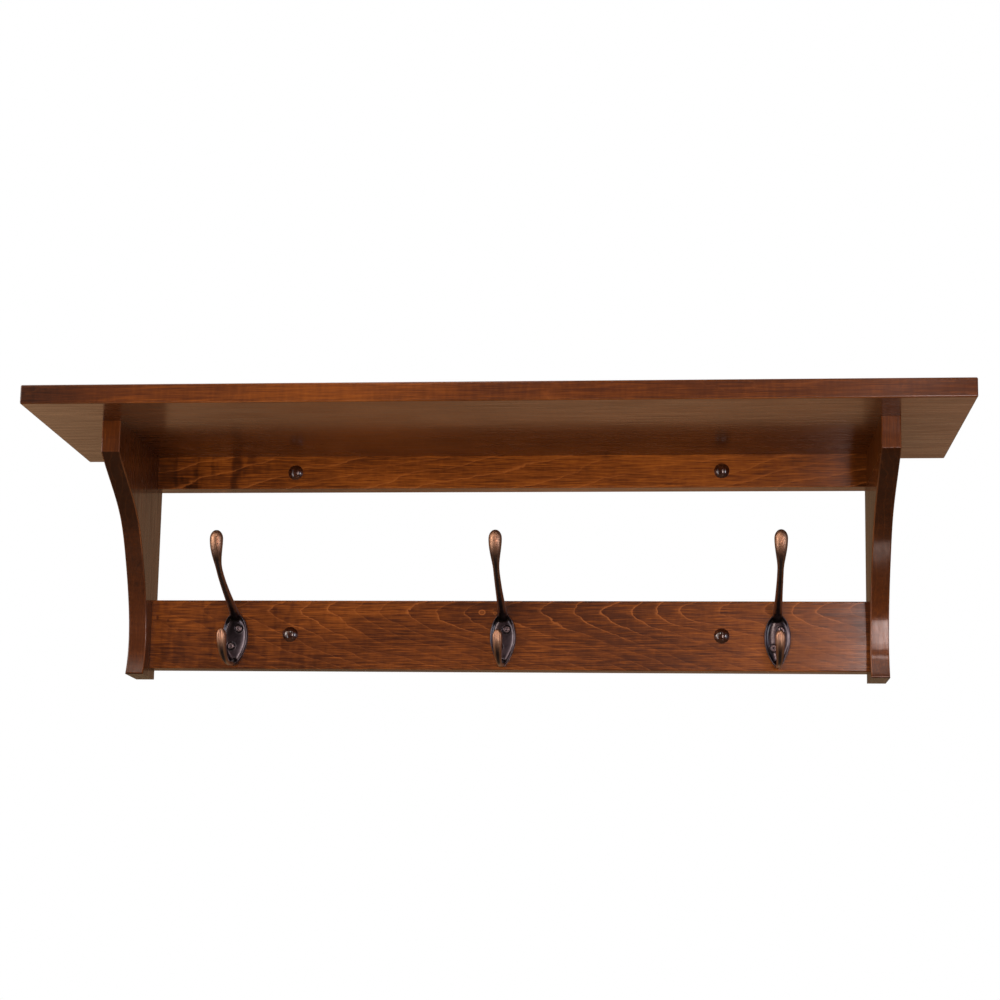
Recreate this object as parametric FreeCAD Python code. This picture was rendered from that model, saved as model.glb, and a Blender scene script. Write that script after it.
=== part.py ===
import FreeCAD, Part
import math
import os

# Wall shelf with hooks, in millimetres.
# X runs along the wall with +X to the viewer's right, Y into the wall, Z up.
# The origin is the centre of the four wall screw holes, on the wall plane.

# Shelf board
shelf_width = 914.4
shelf_depth = 228.6
shelf_thickness = 19.05
shelf_edge_radius = 1.5

# Side brackets
bracket_thickness = 19.05
bracket_overhang = 63.5        # shelf end to the bracket's outside face
bracket_setback = 63.5         # shelf front to the bracket's nose
bracket_height = 238.125
bracket_nose_height = 31.75    # upright front face, directly under the shelf
bracket_edge_radius = 1.2
# The swept front edge, from the nose down to the foot:
# depth from the wall as shares of the bracket's depth, drop as shares of its height below the nose
sweep_depth_shares = [1.0, 0.785, 0.516, 0.379, 0.283, 0.234, 0.268]
sweep_drop_shares = [0.0, 0.106, 0.258, 0.428, 0.600, 0.745, 1.0]

# Rails between the brackets
rail_thickness = 19.05
upper_rail_height = 34.925
lower_rail_height = 73.025
lower_rail_foot = 9.525        # bracket's foot to the lower rail's underside
rail_edge_radius = 1.2

# Wall screw holes in both rails, each under a domed plug
wall_hole_inset = 149.225      # bracket's inside face to the hole beside it
wall_hole_radius = 2.5
plug_hole_radius = 6.35
plug_hole_depth = 9.5
plug_head_radius = 7.94
plug_rim_height = 0.8
plug_dome_height = 4.2         # rail face to the top of the dome
plug_shank_length = 6.5
plug_fit = 0.1                 # radial clearance of the shank
plug_rim_share = 0.93          # dome's start, as a share of the head's radius

# Dowels hidden in the joints
dowel_radius = 4.0
dowel_fit = 0.1                # radial glue space
dowel_end_gap = 0.8            # glue space at each end
dowel_chamfer = 0.8
dowel_depth_in_face = 11.0     # in the shelf or in a bracket's inner face
dowel_depth_in_end = 24.0      # in a rail's end or a bracket's top
bracket_dowel_shares = [0.27, 0.76]        # along the bracket's depth
shelf_rail_dowel_shares = [-0.40, 0.0, 0.40]   # along the upper rail's length
upper_rail_dowel_shares = [-0.25, 0.25]    # up and down from the rail's middle
lower_rail_dowel_shares = [-0.28, 0.28]

# Double coat hooks, each one casting
hook_past_hole = 57.575        # wall hole to the outer hook beside it
hook_offset = -0.7             # middle hook against the rail's middle
hook_drop = 39.4               # lower rail's top to the plate's widest place
plate_half_width = 13.5
plate_height = 57.0
plate_thickness = 4.6
plate_rim_width = 1.5
plate_floor_thickness = 2.2
# Right half of the leaf, from its neck to its lower point
plate_width_shares = [0.36, 0.74, 0.96, 1.0, 0.94, 0.71, 0.44, 0.16]
plate_rise_shares = [0.415, 0.30, 0.14, 0.0, -0.14, -0.305, -0.44, -0.54]
dish_height_share = 0.82       # mouth of the dish against the leaf
dish_floor_share = 0.72        # floor of the dish against its mouth

# Arms: each centre line is a curve through its root and tip, bent by two control points.
# Out is measured from the rail's face, up from the arm's root.
upper_arm_projection = 97.0
upper_arm_root = 20.5          # root above the plate's widest place
upper_arm_rise = 64.6          # root to the tip's widest place
upper_arm_out_shares = [0.01, 0.54, 1.0, 1.0]
upper_arm_up_shares = [0.0, 0.353, 0.507, 1.0]
upper_arm_root_radius = 4.9
upper_arm_radius = 3.0
upper_tip_radius = 6.8
upper_tip_end = 9.0            # from the tip's widest place to its end
upper_swell_share = 0.70       # where along the arm the tip's swelling starts
upper_arm_lean = -1.0          # sideways, at the tip

lower_arm_projection = 62.5
lower_arm_root = -25.0
lower_arm_rise = 16.7
lower_arm_out_shares = [0.016, 0.51, 0.955, 1.0]
lower_arm_up_shares = [0.0, -0.886, -0.21, 1.0]
lower_arm_root_radius = 3.4
lower_arm_radius = 3.3
lower_tip_radius = 4.8
lower_tip_end = 7.4
lower_swell_share = 0.55
lower_arm_lean = -0.3

arm_flatness_share = 0.86      # section height against its width
root_flare_power = 4           # how soon the root's flare dies out along the arm
arm_step_count = 14
tip_step_shares = [0.28, 0.54, 0.75, 0.90, 0.975]   # sections of the rounded end

# Hook screws
screw_radius = 1.75
screw_length = 15.0
screw_point = 3.5
screw_head_radius = 3.3
screw_head_height = 2.0
screw_head_crown = 0.7
screw_fit = 0.1
screw_seat_radius = 4.0
screw_recess_width = 0.9
screw_recess_length = 3.6
screw_recess_depth = 1.0
screw_side = 3.8               # from the hook's middle, high right and low left
screw_high = 8.6
screw_low = -10.0

cut_overrun = 1.0              # how far a cutting shape passes the surface
edge_tolerance = 0.02          # for telling which edges lie on a face

# Sizes that follow from those above
lower_rail_drop = bracket_height - lower_rail_foot - lower_rail_height   # shelf underside to the rail's top
underside = (upper_rail_height / 2 + lower_rail_drop + lower_rail_height / 2) / 2
bracket_outside = shelf_width / 2 - bracket_overhang
bracket_inside = bracket_outside - bracket_thickness
bracket_depth = shelf_depth - bracket_setback
rail_length = 2 * bracket_inside
wall_hole_side = bracket_inside - wall_hole_inset
hook_spacing = wall_hole_side + hook_past_hole
upper_rail_middle = underside - upper_rail_height / 2
lower_rail_top = underside - lower_rail_drop
lower_rail_middle = lower_rail_top - lower_rail_height / 2
rail_face = -rail_thickness
hook_level = lower_rail_top - hook_drop

x_axis = FreeCAD.Vector(1, 0, 0)
y_axis = FreeCAD.Vector(0, 1, 0)
z_axis = FreeCAD.Vector(0, 0, 1)


def point(x, y, z):
    return FreeCAD.Vector(x, y, z)


def save(shape, name):
    shape.exportStep("parts/" + name + ".step")
    print(name, "solids", len(shape.Solids), "valid", shape.isValid(), "volume", round(shape.Volume, 1))


def block(x_low, x_high, y_low, y_high, z_low, z_high):
    corner = point(x_low, y_low, z_low)
    return Part.makeBox(x_high - x_low, y_high - y_low, z_high - z_low, corner)


def eased(solid, radius, wanted):
    """Rounds the straight or curved edges that wanted() picks."""
    return solid.makeFillet(radius, [edge for edge in solid.Edges if wanted(edge)])


def level(edge, axis, value):
    """True if the whole edge lies at this value of x, y or z."""
    box = edge.BoundBox
    low, high = {"x": (box.XMin, box.XMax), "y": (box.YMin, box.YMax), "z": (box.ZMin, box.ZMax)}[axis]
    return abs(low - value) < edge_tolerance and abs(high - value) < edge_tolerance


# Dowels and their holes

def dowel(middle_face, axis, depth_back, depth_ahead):
    """A dowel across the joint at middle_face: depth_back behind it, depth_ahead past it."""
    back = depth_back - dowel_end_gap
    ahead = depth_ahead - dowel_end_gap
    start = middle_face - axis * back
    pin = Part.makeCylinder(dowel_radius, back + ahead, start, axis)
    return pin.makeChamfer(dowel_chamfer, [edge for edge in pin.Edges if edge.Closed])


def dowel_hole(middle_face, axis, depth):
    """A blind hole from the face into the wood along the axis."""
    start = middle_face - axis * cut_overrun
    return Part.makeCylinder(dowel_radius + dowel_fit, depth + cut_overrun, start, axis)


def bracket_dowel_places(side):
    x = side * (bracket_inside + bracket_outside) / 2
    return [point(x, -share * bracket_depth, underside) for share in bracket_dowel_shares]


def shelf_rail_dowel_places():
    return [point(share * rail_length, rail_face / 2, underside) for share in shelf_rail_dowel_shares]


def rail_end_dowel_places(side, middle, height, shares):
    return [point(side * bracket_inside, rail_face / 2, middle + share * height) for share in shares]


def upper_rail_dowel_places(side):
    return rail_end_dowel_places(side, upper_rail_middle, upper_rail_height, upper_rail_dowel_shares)


def lower_rail_dowel_places(side):
    return rail_end_dowel_places(side, lower_rail_middle, lower_rail_height, lower_rail_dowel_shares)


# Wood pieces

def make_shelf():
    half = shelf_width / 2
    board = block(-half, half, -shelf_depth, 0, underside, underside + shelf_thickness)
    board = eased(board, shelf_edge_radius, lambda edge: not level(edge, "y", 0))
    places = bracket_dowel_places(-1) + bracket_dowel_places(1) + shelf_rail_dowel_places()
    return board.cut([dowel_hole(place, z_axis, dowel_depth_in_face) for place in places])


def make_bracket(side):
    nose_bottom = underside - bracket_nose_height
    foot = underside - bracket_height
    sweep_height = nose_bottom - foot
    inner = side * bracket_inside
    sweep_points = [
        point(inner, -depth * bracket_depth, nose_bottom - drop * sweep_height)
        for depth, drop in zip(sweep_depth_shares, sweep_drop_shares)
    ]
    sweep = Part.BSplineCurve()
    sweep.interpolate(sweep_points)
    corners = [
        sweep_points[-1],
        point(inner, 0, foot),
        point(inner, 0, underside),
        point(inner, -bracket_depth, underside),
        sweep_points[0],
    ]
    outline = Part.Wire([sweep.toShape()] + Part.makePolygon(corners).Edges)
    board = Part.Face(outline).extrude(x_axis * side * bracket_thickness)

    def is_front_edge(edge):
        return edge.BoundBox.YMax < -cut_overrun and not level(edge, "z", underside)

    board = eased(board, bracket_edge_radius, is_front_edge)
    holes = [dowel_hole(place, -z_axis, dowel_depth_in_end) for place in bracket_dowel_places(side)]
    for place in upper_rail_dowel_places(side) + lower_rail_dowel_places(side):
        holes.append(dowel_hole(place, x_axis * side, dowel_depth_in_face))
    return board.cut(holes)


def wall_holes(middle):
    """Screw holes through a rail, each with the counterbore that its plug fills."""
    tools = []
    for side in (-1, 1):
        x = side * wall_hole_side
        mouth = point(x, rail_face - cut_overrun, middle)
        tools.append(Part.makeCylinder(wall_hole_radius, rail_thickness + 2 * cut_overrun, mouth, y_axis))
        tools.append(Part.makeCylinder(plug_hole_radius, plug_hole_depth + cut_overrun, mouth, y_axis))
    return tools


def make_rail(bottom, top, ease_top):
    rail = block(-bracket_inside, bracket_inside, rail_face, 0, bottom, top)

    def is_front_edge(edge):
        if not level(edge, "y", rail_face):
            return False
        return level(edge, "z", bottom) or (ease_top and level(edge, "z", top))

    return eased(rail, rail_edge_radius, is_front_edge)


def make_upper_rail():
    rail = make_rail(underside - upper_rail_height, underside, False)
    holes = wall_holes(upper_rail_middle)
    for side in (-1, 1):
        for place in upper_rail_dowel_places(side):
            holes.append(dowel_hole(place, -x_axis * side, dowel_depth_in_end))
    for place in shelf_rail_dowel_places():
        holes.append(dowel_hole(place, -z_axis, dowel_depth_in_end))
    return rail.cut(holes)


def make_lower_rail():
    rail = make_rail(lower_rail_top - lower_rail_height, lower_rail_top, True)
    holes = wall_holes(lower_rail_middle)
    for side in (-1, 1):
        for place in lower_rail_dowel_places(side):
            holes.append(dowel_hole(place, -x_axis * side, dowel_depth_in_end))
    for hook_x in hook_places():
        for x, z in screw_places(hook_x):
            depth = screw_length - plate_floor_thickness + cut_overrun
            start = point(x, rail_face - cut_overrun, z)
            holes.append(Part.makeCylinder(screw_radius + screw_fit, depth + cut_overrun, start, y_axis))
    return rail.cut(holes)


# Plugs

def make_plug(side, middle):
    """Half profile in radius and height above the rail's face, turned about the hole's axis."""
    shank_radius = plug_hole_radius - plug_fit
    rim_radius = plug_head_radius * plug_rim_share
    dome_rise = plug_dome_height - plug_rim_height
    dome_radius = (rim_radius ** 2 + dome_rise ** 2) / (2 * dome_rise)
    mid_angle = math.asin(rim_radius / dome_radius) / 2
    shoulder = Part.LineSegment(point(plug_head_radius, 0, 0), point(rim_radius, 0, plug_rim_height))
    dome = Part.Arc(
        point(rim_radius, 0, plug_rim_height),
        point(
            dome_radius * math.sin(mid_angle),
            0,
            plug_dome_height - dome_radius * (1 - math.cos(mid_angle)),
        ),
        point(0, 0, plug_dome_height),
    )
    shank = Part.makePolygon([
        point(0, 0, plug_dome_height),
        point(0, 0, -plug_shank_length),
        point(shank_radius, 0, -plug_shank_length),
        point(shank_radius, 0, 0),
        point(plug_head_radius, 0, 0),
    ])
    outline = Part.Wire([shoulder.toShape(), dome.toShape()] + shank.Edges)
    plug = Part.Face(outline).revolve(point(0, 0, 0), z_axis, 360)
    plug.rotate(point(0, 0, 0), x_axis, 90)
    plug.translate(point(side * wall_hole_side, rail_face, middle))
    return plug


# Hooks

def hook_places():
    return [hook_offset + hook_spacing * number for number in (-1, 0, 1)]


def screw_places(hook_x):
    return [
        (hook_x + screw_side, hook_level + screw_high),
        (hook_x - screw_side, hook_level + screw_low),
    ]


def leaf(out, half_width, height):
    """Closed outline of a leaf at this distance from the rail's face, its widest place at z = 0."""
    right = [
        point(width * half_width, -out, rise * height)
        for width, rise in zip(plate_width_shares, plate_rise_shares)
    ]
    left = [point(-place.x, place.y, place.z) for place in reversed(right)]
    sides = []
    for side in (right, left):
        curve = Part.BSplineCurve()
        curve.interpolate(side)
        sides.append(curve.toShape())
    bottom = Part.LineSegment(right[-1], left[0]).toShape()
    top = Part.LineSegment(left[-1], right[0]).toShape()
    return Part.Wire([sides[0], bottom, sides[1], top])


def arm_section(place, along, half_width, half_height):
    """An ellipse square to the arm, 2 * half_width wide from side to side."""
    upright = along.cross(x_axis).normalize()
    sideways = upright.cross(along)
    ellipse = Part.Ellipse(place + sideways * half_width, place + upright * half_height, place)
    return Part.Wire([ellipse.toShape()])


def along_curve(controls, share):
    """The place at this share of a cubic curve with four control points."""
    rest = 1 - share
    weights = [rest ** 3, 3 * rest ** 2 * share, 3 * rest * share ** 2, share ** 3]
    place = point(0, 0, 0)
    for weight, control in zip(weights, controls):
        place += control * weight
    return place


def swelling(share, start):
    """0 up to the start, then a smooth rise to 1 at the end."""
    part = max(0, (share - start) / (1 - start))
    return part * part * (3 - 2 * part)


def make_arm(controls, root_radius, radius, tip_radius, swell_start, tip_end):
    """A tapering arm with a flared root and an egg-shaped tip."""
    places = []
    widths = []
    for number in range(arm_step_count + 1):
        share = number / arm_step_count
        flare = (root_radius - radius) * (1 - share) ** root_flare_power
        swell = (tip_radius - radius) * swelling(share, swell_start)
        places.append(along_curve(controls, share))
        widths.append(radius + flare + swell)
    widest = places[-1]
    upward = (controls[-1] - controls[-2]).normalize()
    for share in tip_step_shares:
        places.append(widest + upward * tip_end * share)
        widths.append(tip_radius * math.sqrt(1 - share ** 2))
    wires = []
    for number, (place, width) in enumerate(zip(places, widths)):
        before = places[max(number - 1, 0)]
        after = places[min(number + 1, len(places) - 1)]
        wires.append(arm_section(place, (after - before).normalize(), width, width * arm_flatness_share))
    return Part.makeLoft(wires, True, False)


def arm_controls(projection, lean, root, rise, out_shares, up_shares):
    return [
        point(out * lean, -out * projection, root + up * rise)
        for out, up in zip(out_shares, up_shares)
    ]


def make_hook(hook_x):
    plate = Part.Face(leaf(0, plate_half_width, plate_height)).extrude(point(0, -plate_thickness, 0))
    dish_half_width = plate_half_width - plate_rim_width
    dish_height = plate_height * dish_height_share
    mouth = leaf(plate_thickness, dish_half_width, dish_height)
    floor = leaf(plate_floor_thickness, dish_half_width * dish_floor_share, dish_height * dish_floor_share)
    plate = plate.cut(Part.makeLoft([floor, mouth], True, True))
    upper_arm = make_arm(
        arm_controls(
            upper_arm_projection, upper_arm_lean, upper_arm_root, upper_arm_rise,
            upper_arm_out_shares, upper_arm_up_shares,
        ),
        upper_arm_root_radius, upper_arm_radius, upper_tip_radius, upper_swell_share, upper_tip_end,
    )
    lower_arm = make_arm(
        arm_controls(
            lower_arm_projection, lower_arm_lean, lower_arm_root, lower_arm_rise,
            lower_arm_out_shares, lower_arm_up_shares,
        ),
        lower_arm_root_radius, lower_arm_radius, lower_tip_radius, lower_swell_share, lower_tip_end,
    )
    hook = plate.fuse([upper_arm, lower_arm])
    # The arms' roots are trimmed where they would enter the rail
    wood = block(-plate_height, plate_height, 0, plate_height, -plate_height, plate_height)
    holes = [wood]
    for x, z in screw_places(0):
        level_z = z - hook_level
        back = point(x, cut_overrun, level_z)
        seat = point(x, -plate_floor_thickness, level_z)
        through = plate_thickness + 2 * cut_overrun
        holes.append(Part.makeCylinder(screw_radius + screw_fit, through, back, -y_axis))
        holes.append(Part.makeCylinder(screw_seat_radius, screw_head_height + cut_overrun, seat, -y_axis))
    hook = hook.cut(holes).removeSplitter()
    hook.translate(point(hook_x, rail_face, hook_level))
    return hook


def make_hook_screw(x, z):
    """A pan head with a cross recess, and a shank that ends in a point."""
    seat = rail_face - plate_floor_thickness
    head = Part.makeCylinder(screw_head_radius, screw_head_height, point(x, seat, z), -y_axis)
    rim = [edge for edge in head.Edges if edge.Closed and edge.BoundBox.YMax < seat - screw_head_crown]
    head = head.makeFillet(screw_head_crown, rim)
    top = seat - screw_head_height
    for wide, tall in ((screw_recess_length, screw_recess_width), (screw_recess_width, screw_recess_length)):
        slot = block(
            x - wide / 2, x + wide / 2,
            top - cut_overrun, top + screw_recess_depth,
            z - tall / 2, z + tall / 2,
        )
        head = head.cut(slot)
    straight = screw_length - screw_point
    shank = Part.makeCylinder(screw_radius, straight, point(x, seat, z), y_axis)
    tip_radius = screw_radius * screw_fit
    tip = Part.makeCone(screw_radius, tip_radius, screw_point, point(x, seat + straight, z), y_axis)
    return head.fuse([shank, tip]).removeSplitter()


def main():
    os.makedirs("parts", exist_ok=True)
    save(make_shelf(), "shelf_top")
    save(make_upper_rail(), "upper_rail")
    save(make_lower_rail(), "lower_rail")
    pins = [dowel(place, z_axis, dowel_depth_in_end, dowel_depth_in_face) for place in shelf_rail_dowel_places()]
    save(Part.makeCompound(pins), "shelf_rail_dowels")

    for name, side in (("left", -1), ("right", 1)):
        save(make_bracket(side), "bracket_" + name)
        pins = [
            dowel(place, z_axis, dowel_depth_in_end, dowel_depth_in_face)
            for place in bracket_dowel_places(side)
        ]
        save(Part.makeCompound(pins), "bracket_" + name + "_dowels")
        for rail, places in (("upper", upper_rail_dowel_places(side)), ("lower", lower_rail_dowel_places(side))):
            pins = [
                dowel(place, x_axis * side, dowel_depth_in_end, dowel_depth_in_face)
                for place in places
            ]
            save(Part.makeCompound(pins), rail + "_rail_dowels_" + name)
        save(make_plug(side, upper_rail_middle), "plug_upper_" + name)
        save(make_plug(side, lower_rail_middle), "plug_lower_" + name)

    for name, hook_x in zip(("left", "centre", "right"), hook_places()):
        save(make_hook(hook_x), "hook_" + name)
        screws = [make_hook_screw(x, z) for x, z in screw_places(hook_x)]
        save(Part.makeCompound(screws), "hook_" + name + "_screws")


main()
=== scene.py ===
import bmesh
import bpy
import math
import numpy as np
from mathutils import Matrix, Vector


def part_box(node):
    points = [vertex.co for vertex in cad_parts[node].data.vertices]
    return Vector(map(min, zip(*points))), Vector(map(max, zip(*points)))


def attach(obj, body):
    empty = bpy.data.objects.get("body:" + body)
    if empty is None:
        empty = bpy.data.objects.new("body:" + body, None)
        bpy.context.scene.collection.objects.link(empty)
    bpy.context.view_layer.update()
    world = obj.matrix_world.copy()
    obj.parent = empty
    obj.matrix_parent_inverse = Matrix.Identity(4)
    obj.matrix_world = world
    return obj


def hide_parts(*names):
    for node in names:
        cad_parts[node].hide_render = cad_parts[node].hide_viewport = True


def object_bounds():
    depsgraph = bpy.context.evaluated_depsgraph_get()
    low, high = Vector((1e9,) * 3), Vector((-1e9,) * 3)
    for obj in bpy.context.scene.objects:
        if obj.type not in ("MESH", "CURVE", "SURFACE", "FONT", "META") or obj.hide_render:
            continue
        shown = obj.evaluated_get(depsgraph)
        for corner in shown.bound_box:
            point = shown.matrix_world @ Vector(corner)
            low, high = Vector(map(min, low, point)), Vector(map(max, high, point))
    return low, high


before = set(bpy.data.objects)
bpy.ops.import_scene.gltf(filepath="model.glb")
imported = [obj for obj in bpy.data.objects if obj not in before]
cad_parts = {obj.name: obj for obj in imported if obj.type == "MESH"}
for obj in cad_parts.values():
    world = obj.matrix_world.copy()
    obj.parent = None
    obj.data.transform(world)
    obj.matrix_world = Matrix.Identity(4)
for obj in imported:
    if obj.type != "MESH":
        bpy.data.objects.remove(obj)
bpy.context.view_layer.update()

# Wall shelf with hooks, in metres. X runs along the wall, Y into the wall, Z up.
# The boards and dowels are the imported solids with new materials.
# The hooks, their screws and the plugs are finer pieces built here in their places.

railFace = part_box("lower_rail")[0].y
hookNames = ("left", "centre", "right")


# Colour helpers

def fromScreen(red, green, blue):
    # A screen colour, 0 to 255, as the linear colour that shaders take
    def channel(value):
        value = value / 255
        return value / 12.92 if value <= 0.04045 else ((value + 0.055) / 1.055) ** 2.4
    return (channel(red), channel(green), channel(blue), 1.0)


def grey(value):
    return (value, value, value, 1.0)


class Nodes:
    # Short calls that put nodes into one shader tree. An input is a socket to link or a plain value.

    def __init__(self, tree):
        self.tree = tree
        tree.nodes.clear()

    def put(self, socket, value):
        if isinstance(value, bpy.types.NodeSocket):
            self.tree.links.new(value, socket)
        else:
            socket.default_value = value

    def add(self, kind, *values):
        # A node with its first inputs filled in their order
        node = self.tree.nodes.new(kind)
        for socket, value in zip(node.inputs, values):
            self.put(socket, value)
        return node

    def split(self, vector):
        node = self.add("ShaderNodeSeparateXYZ", vector)
        return node.outputs["X"], node.outputs["Y"], node.outputs["Z"]

    def join(self, x, y, z):
        return self.add("ShaderNodeCombineXYZ", x, y, z).outputs[0]

    def math(self, operation, first, second=0.0):
        node = self.add("ShaderNodeMath", first, second)
        node.operation = operation
        return node.outputs[0]

    def plus(self, first, second):
        return self.math("ADD", first, second)

    def minus(self, first, second):
        return self.math("SUBTRACT", first, second)

    def times(self, first, second):
        return self.math("MULTIPLY", first, second)

    def over(self, first, second):
        return self.math("DIVIDE", first, second)

    def apart(self, first, second):
        return self.math("ABSOLUTE", self.minus(first, second))

    def vectorMath(self, operation, *vectors):
        node = self.add("ShaderNodeVectorMath", *vectors)
        node.operation = operation
        return node.outputs["Value"]

    def length(self, vector):
        return self.vectorMath("LENGTH", vector)

    def noise(self, vector, scale, detail=3.0, roughness=0.5, distortion=0.0):
        node = self.add("ShaderNodeTexNoise", vector)
        node.inputs["Scale"].default_value = scale
        node.inputs["Detail"].default_value = detail
        node.inputs["Roughness"].default_value = roughness
        node.inputs["Distortion"].default_value = distortion
        return node.outputs["Fac"]

    def between(self, value, low, high, start=0.0, end=1.0):
        # Smooth step from start at low to end at high
        node = self.add("ShaderNodeMapRange", value, low, high, start, end)
        node.interpolation_type = "SMOOTHSTEP"
        return node.outputs["Result"]

    def ramp(self, value, stops):
        node = self.add("ShaderNodeValToRGB", value)
        elements = node.color_ramp.elements
        while len(elements) < len(stops):
            elements.new(0.5)
        for element, (position, colour) in zip(elements, stops):
            element.position = position
            element.color = colour
        return node.outputs["Color"]

    def blend(self, share, first, second):
        node = self.tree.nodes.new("ShaderNodeMix")
        node.data_type = "RGBA"
        self.put(node.inputs["Factor"], share)
        self.put(node.inputs[6], first)
        self.put(node.inputs[7], second)
        return node.outputs[2]

    def background(self, colour, strength=1.0):
        return self.add("ShaderNodeBackground", colour, strength).outputs[0]


class Shading(Nodes):
    # One material with its shader

    def __init__(self, name):
        self.material = bpy.data.materials.new(name)
        self.material.use_nodes = True
        super().__init__(self.material.node_tree)
        self.output = self.add("ShaderNodeOutputMaterial")
        self.shader = self.add("ShaderNodeBsdfPrincipled")
        self.tree.links.new(self.shader.outputs["BSDF"], self.output.inputs["Surface"])

    def set(self, **values):
        for name, value in values.items():
            self.put(self.shader.inputs[name.replace("_", " ")], value)

    def place(self):
        # Object coordinates are the row's frame, because every object sits at the origin
        return self.add("ShaderNodeTexCoord").outputs["Object"]

    def facing(self):
        # Which way the surface faces, in the row's frame, before any bump
        return self.add("ShaderNodeTexCoord").outputs["Normal"]

    def attribute(self, name):
        node = self.add("ShaderNodeAttribute")
        node.attribute_name = name
        return node.outputs["Fac"]

    def bump(self, layers):
        # Layers are (height, distance in metres), the coarsest first
        normal = None
        for height, distance in layers:
            node = self.add("ShaderNodeBump")
            node.inputs["Strength"].default_value = 1.0
            node.inputs["Distance"].default_value = distance
            self.put(node.inputs["Height"], height)
            if normal is not None:
                self.put(node.inputs["Normal"], normal)
            normal = node.outputs["Normal"]
        return normal


# Stained wood

woodLook = {
    "deep": fromScreen(38, 14, 2),
    "dark": fromScreen(70, 31, 5),
    "middle": fromScreen(106, 53, 11),
    "light": fromScreen(142, 76, 22),
    "line": fromScreen(170, 96, 42),
    # pale colour of the painted highlight on the rounded arrises
    "edge": fromScreen(166, 102, 60),
    "gloss": 0.50,                # roughness of the wood under the lacquer
    "lacquer": 0.9,
    "satinSide": 0.25,            # what is left of the lacquer on outer sides
    "lineShare": 0.66,            # strength of the pale growth lines
    "ringShade": 0.10,            # how much a ring darkens towards its end
    "slowWobble": 0.030,          # wobble of the rings, in metres
    "jagged": 0.0042,
    "wideRipple": 0.35,           # what is left of the ripple on the wide faces
    "endTone": -0.16,             # end grain takes more stain
    "arrisHighlightShare": (0.04, 0.26),          # least and most share of the painted highlight colour on the arrises
}

# Noise in the wood: stretch along the grain, scale, detail, roughness, distortion
woodNoise = {
    "cloud": (3.5, 18, 3, 0.5, 0.4),
    "streak": (22, 1 / 0.0024, 3, 0.55, 0.3),
    "fibre": (34, 1 / 0.0010, 3, 0.6, 0.0),
    "pore": (30, 2.6 / 0.0010, 2, 0.5, 0.0),
    "curl": (0.4, 80, 2, 0.5, 0.3),
    "slowWobble": (2.6, 22, 2, 0.5, 0.0),
    "jagged": (1.7, 150, 3, 0.6, 0.0),
    "lineGaps": (2.2, 30, 2, 0.5, 0.0),
    "flame": (0.30, 30, 1, 0.5, 0.15),
    "ripple": (0.16, 42, 2, 0.5, 0.2),
    "brushed": (16, 260, 3, 0.6, 0.0),
    "wave": (3.0, 14, 1, 0.4, 0.0),
}
# The noises that make up the tone, and how much each changes it
toneShares = {"cloud": 0.42, "streak": 0.46, "fibre": 1.05, "pore": 0.50, "curl": 0.16}
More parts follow.
